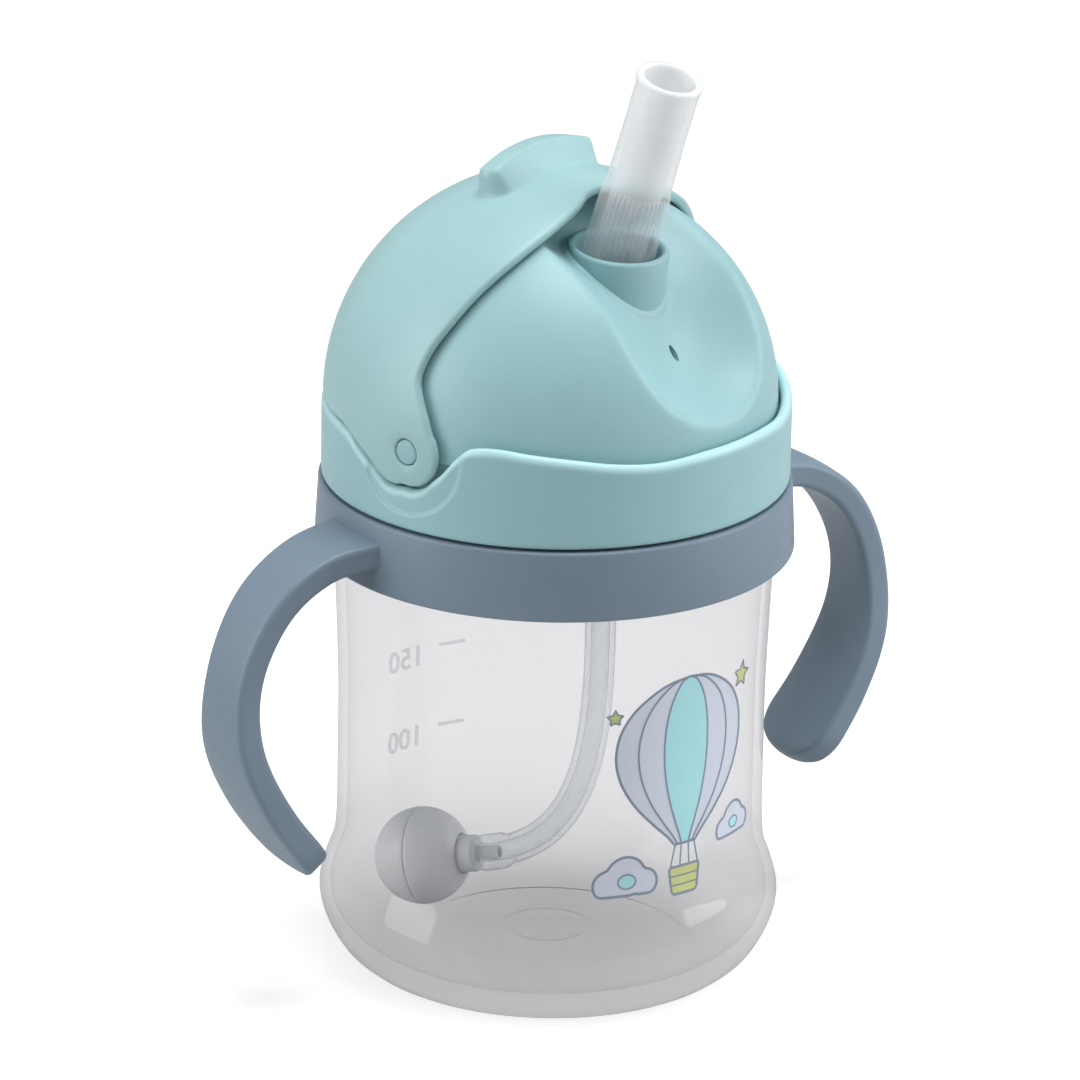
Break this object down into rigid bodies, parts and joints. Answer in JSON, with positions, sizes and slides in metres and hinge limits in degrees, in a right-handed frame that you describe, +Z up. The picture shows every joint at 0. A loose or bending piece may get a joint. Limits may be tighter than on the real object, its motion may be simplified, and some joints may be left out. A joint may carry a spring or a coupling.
{
  "type": "straw sippy cup",
  "caption": "Toddler straw cup: clear bottle, clamped ring with handles, screw lid, sliding hood that folds the soft straw, and a weighted drinking tube.",
  "frame": {"origin": "centre of the foot, on the plane the cup stands on", "axes": "+Z up along the bottle; handles along +X and -X; printed front towards -Y, volume marks towards +Y"},
  "size_m": [0.1226, 0.076, 0.1519],
  "materials": {
    "clear_plastic": "clear moulded copolyester, polished",
    "slate_plastic": "satin moulded polypropylene, blue-grey",
    "mint_plastic": "satin moulded polypropylene, grey-mint",
    "mint_hood_plastic": "satin moulded polypropylene, light mint",
    "frosted_silicone": "translucent frosted silicone",
    "white_silicone": "white silicone",
    "ball_plastic": "pale grey moulded plastic",
    "weight_steel": "turned stainless steel"
  },
  "bodies": {
    "bottle": {"bottle": "clear_plastic"},
    "handles": {"handle_ring": "slate_plastic"},
    "seal": {"lid_seal": "white_silicone"},
    "lid": {"lid_collar": "mint_plastic", "lid_dome": "mint_plastic", "pivot_pin_left": "mint_plastic", "pivot_pin_right": "mint_plastic", "vent_valve": "white_silicone", "tube_connector": "ball_plastic"},
    "hood": {"hood": "mint_hood_plastic"},
    "straw": {"straw": "frosted_silicone"},
    "weighted_ball": {"ball_connector": "ball_plastic", "ball_shell_front": "ball_plastic", "ball_shell_rear": "ball_plastic", "ball_weight": "weight_steel", "straw_tube": "frosted_silicone"}
  },
  "joints": [
    {"name": "handle_turn", "type": "hinge", "parent": "bottle", "child": "handles", "pos_m": [0, 0, 0.0755], "axis": [0, 0, 1], "continuous": true},
    {"name": "lid_rise", "type": "slide", "parent": "bottle", "child": "seal", "axis": [0, 0, 1], "range_m": [0, 0.0041]},
    {"name": "lid_unscrew", "type": "hinge", "parent": "seal", "child": "lid", "pos_m": [0, 0, 0.09], "axis": [0, 0, 1], "range_deg": [0, 360]},
    {"name": "hood_turn", "type": "hinge", "parent": "lid", "child": "hood", "pos_m": [0, 0, 0.094], "axis": [0.95, 0.3123, 0], "range_deg": [0, 72]},
    {"name": "straw_fold", "type": "hinge", "parent": "lid", "child": "straw", "pos_m": [0.00367, -0.01116, 0.12], "axis": [0.95, 0.3123, 0], "range_deg": [0, 128], "deforming": ["straw"]},
    {"name": "ball_roll", "type": "hinge", "parent": "lid", "child": "weighted_ball", "pos_m": [0, 0, 0.012], "axis": [0, 0, 1], "range_deg": [-120, 120], "deforming": ["straw_tube"]}
  ],
  "couplings": [
    {"joint": "lid_rise", "follows": "lid_unscrew", "m_per_rad": 0.00063662},
    {"joint": "straw_fold", "follows": "hood_turn", "ratio": 1.77}
  ]
}
